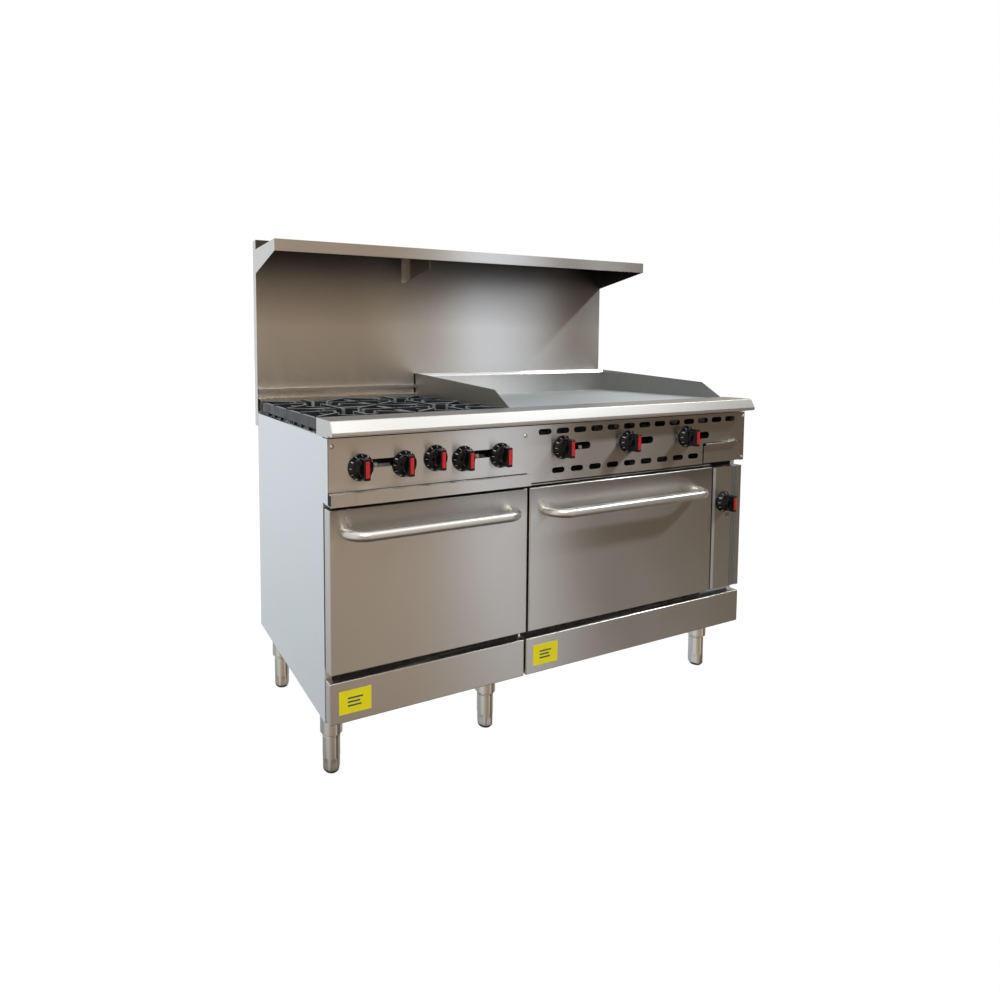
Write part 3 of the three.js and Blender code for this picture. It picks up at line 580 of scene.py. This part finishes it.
# ---------------------------------------------------------------- handles, legs and feet
def arc(centre, start, end, radius, steps=12):
    """Points a quarter turn from one direction to another, in metres."""
    centre, start, end = Vector(centre), Vector(start), Vector(end)
    angles = [math.pi / 2 * i / steps for i in range(steps + 1)]
    return [centre + radius * (start * math.cos(a) + end * math.sin(a)) for a in angles]


def handles():
    """Bowed tubes whose ends turn back into the doors."""
    for side in SIDES:
        node = f"door_handle_{side}"
        low, high = corners(node)
        radius = (high.z - low.z) / 2
        z = (low.z + high.z) / 2
        bend = 46 * MM
        axis_y = low.y + radius
        left, right = low.x + radius, high.x - radius
        route = [Vector((left, high.y, z))]
        route += arc((left + bend, axis_y + bend, z), (-1, 0, 0), (0, -1, 0), bend)
        route += arc((right - bend, axis_y + bend, z), (0, -1, 0), (1, 0, 0), bend)
        route += [Vector((right, high.y, z))]
        bm = bmesh.new()
        tube(bm, route, radius, 32)
        piece = new_piece(f"handle_tube_{side}", bm, polished, NODE_BODY[node])
        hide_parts(node)


FOOT_FLAT = 22.6  # from the middle of a foot to its flats, mm
FLATS_TOP = 44  # the height of the top of the flats, mm


def hexed(radius, height, angle):
    """The radius of a foot with six flats ground on its lower end."""
    flat = FOOT_FLAT - max(0, 12 - height) * 0.2
    if height > FLATS_TOP or radius < 18:
        return radius
    turn = (angle % (math.pi / 3)) - math.pi / 6
    return min(radius, flat / math.cos(turn) * (1 if height < 40 else 1.03))


def leg_sleeve(node, x, y):
    """A fixed sleeve under its bolted flange."""
    low, high = corners(node)
    bottom, top = low.z / MM, high.z / MM
    sleeve = [
        (25, bottom + 46), (25, bottom + 0.8), (25.8, bottom), (30.2, bottom), (31, bottom + 0.9),
        (31, top - 3),
    ]
    bm = bmesh.new()
    lathe(bm, sleeve, Matrix.Translation((x, y, 0)), 48)
    rounded_box(bm, (low.x, low.y, high.z - 3 * MM), high, 1.2 * MM)
    for dx, dy in ((-1, -1), (-1, 1), (1, -1), (1, 1)):
        bolt = Matrix.Translation((x + dx * 32 * MM, y + dy * 32 * MM, high.z - 3 * MM))
        head = [(0, 0), (5.5, 0), (5.5, -3), (4.6, -4), (0, -4)]
        lathe(bm, head, bolt, 6)
    piece = new_piece(node + "_sleeve", bm, leg_steel, BODY)
    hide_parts(node)


def leg_foot(node, x, y):
    """A foot that slides in its sleeve."""
    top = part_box(node)[1][2] / MM
    foot = [
        (0, 0), (17, 0), (18.6, 0.8), (23.6, 7), (24.5, 11), (24.5, 24), (24.5, 40), (24.5, 46),
        (24.5, 104), (23.6, 105), (23.6, 108), (24.5, 109), (24.5, top), (0, top),
    ]
    bm = bmesh.new()
    lathe(bm, foot, Matrix.Translation((x, y, 0)), 48, hexed)
    piece = new_piece(node + "_tube", bm, leg_steel, NODE_BODY[node], 25)
    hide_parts(node)


def legs():
    """The six legs, each a sleeve and its foot."""
    for node in frame["nodes"]:
        if not node.startswith("leg_"):
            continue
        low, high = corners(node)
        x, y = (low.x + high.x) / 2, (low.y + high.y) / 2
        leg_sleeve(node, x, y)
        leg_foot(node.replace("leg_", "foot_"), x, y)


# ---------------------------------------------------------------- burners and grates
FLAME_PORTS = 30
RING_RADIUS = 98 * MM
SHORT_REACH = 41 * MM  # from a grate's middle to the tips of its straight fingers
LONG_REACH = 77.5 * MM  # and to the tips of its corner fingers


def burner_tops():
    """A cap on each cast burner, and the ring and the paler finger tips of each grate."""
    for row in ROWS:
        for side in SIDES:
            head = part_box(f"top_burner_{row}_{side}")[1]
            middle = Vector((burner_x(side), head[1] - 46 * MM))
            body = NODE_BODY[f"grate_{row}_{side}"]
            grate_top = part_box(f"grate_{row}_{side}")[1][2]
            burner_cap(f"burner_cap_{row}_{side}", middle, head[2] / MM)
            grate_ring(f"grate_rib_{row}_{side}", middle, grate_top, body)
            grate_tips(f"grate_tips_{row}_{side}", middle, grate_top, body)


def burner_x(side):
    """The X of the burners on one side; the two grates of a row aren't centred on them alike."""
    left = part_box(f"grate_front_{side}")[0][0]
    return left + (146 if side == "left" else 152.5) * MM


def burner_cap(name, middle, top):
    """A domed cap over a ring of flame ports; top in mm."""
    place = Matrix.Translation((middle.x, middle.y, 0))
    bm = bmesh.new()
    cap = [
        (0, top - 9), (38, top - 9), (43, top - 7), (44.5, top - 4), (43, top - 1.5),
        (32, top + 2), (20, top + 3.6), (0, top + 4.2),
    ]
    lathe(bm, cap, place, 48)
    tooth_low = Vector((43, -2.9, top - 29)) * MM
    tooth_high = Vector((47.6, 2.9, top - 13)) * MM
    for i in range(FLAME_PORTS):
        tooth = bmesh.new()
        rounded_box(tooth, tooth_low, tooth_high, 0.9 * MM)
        add_part(bm, tooth, place @ Matrix.Rotation(2 * math.pi * i / FLAME_PORTS, 4, "Z"))
    new_piece(name, bm, cast_burner, BODY)


def level_point(middle, degrees, reach):
    """The (x, y) point this far from the middle, in this direction."""
    angle = math.radians(degrees)
    return middle + reach * Vector((math.cos(angle), math.sin(angle)))


def grate_ring(name, middle, top, body):
    """The eight-sided rib that ties a grate's fingers together."""
    bm = bmesh.new()
    ring = [level_point(middle, 22.5 + 45 * i, RING_RADIUS) for i in range(8)]
    for i in range(8):
        rib_bar(bm, ring[i], ring[(i + 1) % 8], top - 17 * MM, top - 4 * MM, 5 * MM)
    new_piece(name, bm, cast_iron, body)


def grate_tips(name, middle, top, body):
    """The ends of a grate's fingers, in a paler iron."""
    bm = bmesh.new()
    for i in range(8):
        reach = SHORT_REACH if i % 2 == 0 else LONG_REACH
        start = level_point(middle, 45 * i, reach)
        end = level_point(middle, 45 * i, reach + 6 * MM)
        rib_bar(bm, start, end, top - 19 * MM, top - 0.2 * MM, 9.8 * MM)
    new_piece(name, bm, pale_tip_iron, body)


def rib_bar(bm, start, end, z0, z1, width):
    """A rounded level bar between two (x, y) points, a little past both."""
    along = end - start
    angle = math.atan2(along.y, along.x)
    middle = (start + end) / 2
    half = along.length / 2 + 1.4 * MM
    bar = bmesh.new()
    rounded_box(bar, (-half, -width / 2, z0), (half, width / 2, z1), 1.2 * MM)
    add_part(bm, bar, Matrix.Translation((middle.x, middle.y, 0)) @ Matrix.Rotation(angle, 4, "Z"))


# ---------------------------------------------------------------- small fittings
def screws():
    """The four screws of the control panel."""
    low, high = corners("control_panel")
    spots = [
        (low.x + 9 * MM, high.z - 19 * MM), (-164 * MM, high.z - 28 * MM),
        (high.x - 8 * MM, high.z - 15 * MM), (high.x - 8 * MM, low.z + 10 * MM),
    ]
    bm = bmesh.new()
    for x, z in spots:
        place = Matrix.Translation((x, low.y + 0.2 * MM, z)) @ OUTWARD
        lathe(bm, [(0, 0), (5.6, 0), (5.4, 1.4), (3.6, 3.0), (1.8, 3.4), (1.5, 1.6), (0, 1.6)], place, 24)
    new_piece("panel_screws", bm, leg_steel, BODY)


def labels():
    """A plain yellow label on each kick plate, with three short bars as a generic mark."""
    for side, x in zip(SIDES, (-735, -125)):
        low, _ = corners(f"kick_plate_{side}")
        face = low.y
        bm = bmesh.new()
        z0, z1 = low.z + 23 * MM, low.z + 84 * MM
        x0, x1 = x * MM, (x + 90) * MM
        rounded_box(bm, (x0, face - 0.5 * MM, z0), (x1, face + 0.3 * MM, z1), 0.2 * MM)
        new_piece(f"yellow_label_{side}", bm, yellow, BODY)
        bm = bmesh.new()
        for row, (start, end) in enumerate(((24, 66), (24, 58), (24, 62))):
            base = z0 + (38 - 10 * row) * MM
            rounded_box(
                bm,
                (x0 + start * MM, face - 0.8 * MM, base),
                (x0 + end * MM, face - 0.4 * MM, base + 4.5 * MM),
                0.12 * MM,
            )
        new_piece(f"label_mark_{side}", bm, ink, BODY)


def sight_fittings():
    """The pilot valves seen through the sight slots, and the two plain bars under the oven knob."""
    panel_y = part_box("control_panel")[0][1]
    knob_z = sum(p[2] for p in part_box("burner_knob_1")) / 2
    bm = bmesh.new()
    for knob_node, offset in (("burner_knob_1", 42), ("burner_knob_3", 47), ("griddle_knob_1", 70)):
        x = sum(p[0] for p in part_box(knob_node)) / 2 + offset * MM
        rounded_box(
            bm,
            (x - 7 * MM, panel_y + 5 * MM, knob_z - 8 * MM),
            (x + 7 * MM, panel_y + 18 * MM, knob_z + 8 * MM),
            1.5 * MM,
        )
        place = Matrix.Translation((x, panel_y + 5 * MM, knob_z)) @ OUTWARD
        lathe(bm, [(0, 0), (4, 0), (4, 3), (3.2, 3.8), (0, 3.8)], place, 20)
    new_piece("pilot_valves", bm, brass, BODY)

    knob_low, knob_high = corners("oven_knob_right")
    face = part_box("valve_panel")[0][1]
    x = (knob_low.x + knob_high.x) / 2 + 12 * MM
    z = knob_low.z - 10 * MM
    bm = bmesh.new()
    for row in range(2):
        base = z - row * 7 * MM
        rounded_box(bm, (x, face - 0.5 * MM, base), (x + 19 * MM, face + 0.2 * MM, base + 4 * MM), 0.1 * MM)
    new_piece("oven_marks", bm, ink, BODY)


def splash_hem():
    """The rolled hem along the rear of the splash, in near-white steel as a painted highlight, and the
    flanges behind its side walls.
    """
    low, high = corners("griddle_splash")
    hem_front = high.y - 29 * MM
    section = [(-8, -12), (-0.6, 0.3), (28, 0.3), (28, -0.8), (0.5, -0.8), (0.5, -12)]
    bm = bmesh.new()
    place = Matrix.Translation((low.x, hem_front, high.z)) @ ALONG_X
    prism(bm, section, place, (high.x - low.x) / MM)
    new_piece("splash_hem", bm, hem_highlight, BODY)

    bm = bmesh.new()
    for x in (low.x + 0.1 * MM, high.x - 2.9 * MM):
        flange_high = (x + 2.8 * MM, high.y - 6 * MM, high.z - 1 * MM)
        rounded_box(bm, (x, high.y - 22.5 * MM, low.z + 1 * MM), flange_high, 0.4 * MM)
    new_piece("splash_flanges", bm, splash_steel, BODY)


def door_head_rail():
    """The thin rail between the control panel and the wide door."""
    panel_low, _ = corners("control_panel")
    door_low, door_high = corners("oven_door_outer_right")
    z = (panel_low.z + door_high.z) / 2
    bm = bmesh.new()
    rounded_box(
        bm,
        (door_low.x, door_low.y + 8 * MM, z - 1.4 * MM),
        (door_high.x, door_low.y + 34 * MM, z + 1.4 * MM),
        0.5 * MM,
    )
    new_piece("door_head_rail", bm, stainless, BODY)


def valve_panel_folds():
    """The pressed strips of the narrow panel: a return beside the door in pale steel as a painted
    highlight, and a channel in darker, cooler steel as painted shade.
    """
    low, high = corners("valve_panel")
    z0, z1 = low.z + 1 * MM, high.z - 1 * MM

    def strip(bm, x, width, y, depth):
        rounded_box(bm, (x, y, z0), (x + width * MM, y + depth * MM, z1), 0.4 * MM)

    # Painted highlight: the return drawn in the pale side steel.
    bm = bmesh.new()
    strip(bm, low.x + 1 * MM, 12, low.y - 0.5 * MM, 1)
    new_piece("valve_panel_return", bm, satin_side, BODY)
    # Painted shade: the channel in a darker, cooler copy of the steel.
    bm = bmesh.new()
    left, right = low.x + 92.5 * MM, low.x + 122.5 * MM
    strip(bm, left, 30, low.y + 0.6 * MM, 1.8)
    for x in (left + 8 * MM, right - 8 * MM):
        strip(bm, x, 2, low.y, 1)
    new_piece("valve_panel_channel", bm, shaded_channel_steel, BODY)


def rear_fittings():
    """Screws in the rear panel and the backguard, and the strip over the panel's centre seam."""
    low, high = corners("rear_panel")
    back = high.y
    guard_low, guard_high = corners("backguard")
    head = [(0, 0), (5.5, 0), (5.2, 1.4), (3.6, 2.6), (1.8, 2.9), (1.6, 1.6), (0, 1.6)]
    bm = bmesh.new()
    for x in (low.x + 12 * MM, 0, high.x - 12 * MM):
        for step in range(6):
            z = low.z + 20 * MM + step * (guard_low.z - low.z - 45 * MM) / 5
            lathe(bm, head, Matrix.Translation((x, back, z)) @ BACKWARD, 20)
    for step in range(9):
        x = guard_low.x + 20 * MM + step * (guard_high.x - guard_low.x - 40 * MM) / 8
        for z in (guard_low.z + 14 * MM, guard_high.z - 20 * MM):
            lathe(bm, head, Matrix.Translation((x, guard_high.y - 3 * MM, z)) @ BACKWARD, 20)
    new_piece("rear_screws", bm, leg_steel, BODY)
    bm = bmesh.new()
    seam_low = (-18 * MM, back - 0.4 * MM, low.z + 4 * MM)
    seam_high = (18 * MM, back + 0.9 * MM, guard_low.z - 2 * MM)
    rounded_box(bm, seam_low, seam_high, 0.5 * MM)
    new_piece("rear_seam_strip", bm, galvanised, BODY)


def side_cheeks():
    """Satin cheeks that carry the side panels forward to the face of the control panel."""
    low, high = corners("control_panel")
    body, _ = corners("side_panel_left")
    thick = 1.6 * MM
    for side, x in zip(SIDES, (body.x, -body.x - thick)):
        bm = bmesh.new()
        rounded_box(bm, (x, low.y + 1.6 * MM, low.z), (x + thick, body.y - 0.1 * MM, high.z), 0.3 * MM)
        new_piece(f"panel_cheek_{side}", bm, satin_side, BODY)


def tray_end_shadow_strip():
    """A black strip on the left end of the crumb tray's face: painted shade where the tray's end lies in
    shadow.
    """
    low, high = corners("crumb_tray")
    panel_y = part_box("control_panel")[0][1]
    bm = bmesh.new()
    seal_high = (low.x + 0.2 * MM, panel_y + 1 * MM, high.z - 2 * MM)
    rounded_box(bm, (low.x - 0.8 * MM, low.y + 3 * MM, low.z + 2 * MM), seal_high, 0.4 * MM)
    new_piece("tray_end_shadow_strip", bm, black_pipe, NODE_BODY["crumb_tray"])


RACK_PITCH = 26 * MM


def oven_racks():
    """Round-wire racks on the solid ones' footprint."""
    thick = 3.0 * MM
    inset = Vector((thick, thick, thick))
    for side in SIDES:
        node = f"oven_rack_{side}"
        low, high = corners(node)
        inner_low = low + inset
        inner_high = high - inset
        z = (low.z + high.z) / 2
        bm = bmesh.new()
        frame_points = [
            (inner_low.x, inner_low.y, z), (inner_high.x, inner_low.y, z),
            (inner_high.x, inner_high.y, z), (inner_low.x, inner_high.y, z),
        ]
        for i in range(4):
            tube(bm, [frame_points[i], frame_points[(i + 1) % 4]], thick, 12)
        count = round((high.x - low.x) / RACK_PITCH)
        for i in range(1, count):
            x = inner_low.x + (inner_high.x - inner_low.x) * i / count
            tube(bm, [(x, inner_low.y, z + 0.6 * MM), (x, inner_high.y, z + 0.6 * MM)], 1.8 * MM, 8)
        for share in (0.33, 0.67):
            y = inner_low.y + (inner_high.y - inner_low.y) * share
            tube(bm, [(inner_low.x, y, z - 1.2 * MM), (inner_high.x, y, z - 1.2 * MM)], 1.8 * MM, 8)
        piece = new_piece(f"wire_rack_{side}", bm, wire, NODE_BODY[node])
        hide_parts(node)


# ---------------------------------------------------------------- camera, light and floor
def place_camera():
    """The view of the picture: lens, shift, place and turn come from a fit to the range's corners."""
    data = bpy.data.cameras.new("camera")
    camera = bpy.data.objects.new("camera", data)
    bpy.context.collection.objects.link(camera)
    bpy.context.scene.camera = camera
    data.sensor_width = 36
    data.lens = 22.78
    data.shift_x = 0.1308
    data.shift_y = -0.1112
    yaw = 0.41975
    pitch = 0.0631
    roll = -0.00441
    forward = Vector((math.sin(yaw) * math.cos(pitch), math.cos(yaw) * math.cos(pitch), -math.sin(pitch)))
    right = Vector((math.cos(yaw), -math.sin(yaw), 0))
    up = right.cross(forward)
    level = Matrix((right, up, -forward)).transposed().to_4x4()
    place = Matrix.Translation((-1.29499, -1.77406, 1.16068))
    camera.matrix_world = place @ level @ Matrix.Rotation(roll, 4, "Z")


def compass(degrees):
    """The level direction this far round from the front, towards +X."""
    return (math.sin(math.radians(degrees)), -math.cos(math.radians(degrees)), 0)


def area_light(name, place, target, size, power):
    data = bpy.data.lights.new(name, "AREA")
    data.shape = "RECTANGLE"
    data.size, data.size_y = size
    data.energy = power
    lamp = bpy.data.objects.new(name, data)
    bpy.context.collection.objects.link(lamp)
    aim = Vector(target) - Vector(place)
    lamp.rotation_euler = aim.to_track_quat("-Z", "Y").to_euler()
    lamp.location = place


def sun_light(name, azimuth, elevation, strength, angle, color):
    """A distant light, from this far round from the front and this far above level."""
    data = bpy.data.lights.new(name, "SUN")
    data.energy = strength
    data.angle = math.radians(angle)
    data.color = color
    lamp = bpy.data.objects.new(name, data)
    bpy.context.collection.objects.link(lamp)
    level = Vector(compass(azimuth)) * math.cos(math.radians(elevation))
    aim = -level - Vector((0, 0, math.sin(math.radians(elevation))))
    lamp.rotation_euler = aim.to_track_quat("-Z", "Y").to_euler()


def world_light():
    """A studio: brown in front with one bright upright band, white behind and overhead."""
    world = bpy.data.worlds.new("studio")
    bpy.context.scene.world = world
    world.use_nodes = True
    background = world.node_tree.nodes["Background"]

    def smooth(value, low, high):
        remap = add_node(world, "ShaderNodeMapRange", interpolation_type="SMOOTHSTEP")
        remap.inputs["From Min"].default_value = low
        remap.inputs["From Max"].default_value = high
        link(world, value, remap.inputs["Value"])
        return remap.outputs["Result"]

    def mixed(factor, first, second):
        return mix_color(world, factor, first, second)

    coordinates = add_node(world, "ShaderNodeTexCoord")
    parts = add_node(world, "ShaderNodeSeparateXYZ")
    link(world, coordinates.outputs["Generated"], parts.inputs[0])
    level = add_node(world, "ShaderNodeCombineXYZ")
    link(world, parts.outputs["X"], level.inputs["X"])
    link(world, parts.outputs["Y"], level.inputs["Y"])
    unit = add_node(world, "ShaderNodeVectorMath", operation="NORMALIZE")
    link(world, level.outputs[0], unit.inputs[0])

    def facing(degrees, outer, inner):
        """Grows from 0 at outer degrees off a direction to 1 at inner degrees off it."""
        dot = add_node(world, "ShaderNodeVectorMath", operation="DOT_PRODUCT")
        dot.inputs[1].default_value = compass(degrees)
        link(world, unit.outputs[0], dot.inputs[0])
        return smooth(dot.outputs["Value"], math.cos(math.radians(outer)), math.cos(math.radians(inner)))

    height = parts.outputs["Z"]
    below = add_node(world, "ShaderNodeMath", operation="MULTIPLY")
    below.inputs[1].default_value = -1
    link(world, height, below.inputs[0])
    depth = below.outputs[0]

    # In front, from level downwards: brown, dimmer to the right, with one bright upright band.
    color = mixed(smooth(depth, 0.02, 0.28), (0.39, 0.30, 0.21), (0.57, 0.475, 0.39))
    dim = mixed(smooth(depth, 0.02, 0.28), (0.10, 0.073, 0.05), (0.21, 0.17, 0.13))
    color = mixed(facing(0, 24, 8), color, (0.45, 0.355, 0.26))
    color = mixed(facing(62, 24, 19), color, dim)
    band = mixed(smooth(height, -0.12, 0.25), (0.78, 0.79, 0.82), (1.45, 1.58, 1.78))
    color = mixed(facing(36, 5, 2), color, band)

    # To the left a grey wall, behind a pale one, and dark straight down.
    color = mixed(facing(-70, 36, 14), color, (0.75, 0.75, 0.73))
    pale = mixed(smooth(depth, 0.12, 0.5), (0.83, 0.87, 0.90), (0.46, 0.50, 0.52))
    color = mixed(facing(196, 75.52, 36.87), color, pale)
    color = mixed(smooth(depth, 0.42, 0.8), color, (0.06, 0.055, 0.05))

    # Overhead: white behind and at the top, greyer in front, brightest over the band.
    far_sky = mixed(facing(66, 24, 10), (0.74, 0.73, 0.71), (0.50, 0.49, 0.47))
    front_sky = mixed(facing(34, 16, 5), far_sky, (1.3, 1.3, 1.3))
    sky = mixed(facing(0, 110.49, 84.26), (1.05, 1.05, 1.05), front_sky)
    color = mixed(smooth(height, 0.42, 0.78), color, sky)
    color = mixed(smooth(height, 0.85, 0.97), color, (1.0, 1.0, 1.0))
    link(world, color, background.inputs["Color"])

    bright = add_node(world, "ShaderNodeBackground")
    bright.inputs["Color"].default_value = (1, 1, 1, 1)
    path = add_node(world, "ShaderNodeLightPath")
    mix = add_node(world, "ShaderNodeMixShader")
    link(world, path.outputs["Is Camera Ray"], mix.inputs[0])
    link(world, background.outputs[0], mix.inputs[1])
    link(world, bright.outputs[0], mix.inputs[2])
    link(world, mix.outputs[0], world.node_tree.nodes["World Output"].inputs[0])


def floor():
    """A glowing white floor that melts into the white background."""
    material, shader = new_material("floor", (0.0, 0.0, 0.0), 0.0, 1.0)
    shader.inputs["Emission Color"].default_value = (1, 1, 1, 1)
    shader.inputs["Emission Strength"].default_value = 1.0
    bm = bmesh.new()
    bmesh.ops.create_circle(bm, cap_ends=True, segments=64, radius=60)
    mesh = bpy.data.meshes.new("floor")
    bm.to_mesh(mesh)
    bm.free()
    mesh.materials.append(material)
    plane = bpy.data.objects.new("floor", mesh)
    bpy.context.collection.objects.link(plane)
    plane.visible_glossy = False
    plane.visible_diffuse = False


paint_frame()
knobs()
steel_fronts()
front_ledge()
handles()
legs()
burner_tops()
screws()
splash_hem()
labels()
sight_fittings()
door_head_rail()
valve_panel_folds()
rear_fittings()
side_cheeks()
tray_end_shadow_strip()
oven_racks()
place_camera()
world_light()
floor()
area_light("key", (-1.0, -3.2, 3.6), (0, 0, 0.8), (2.0, 2.0), 60)
sun_light("window", 66, 40, 0.6, 4, (0.92, 0.97, 1.0))
bpy.context.scene.view_settings.view_transform = "Standard"
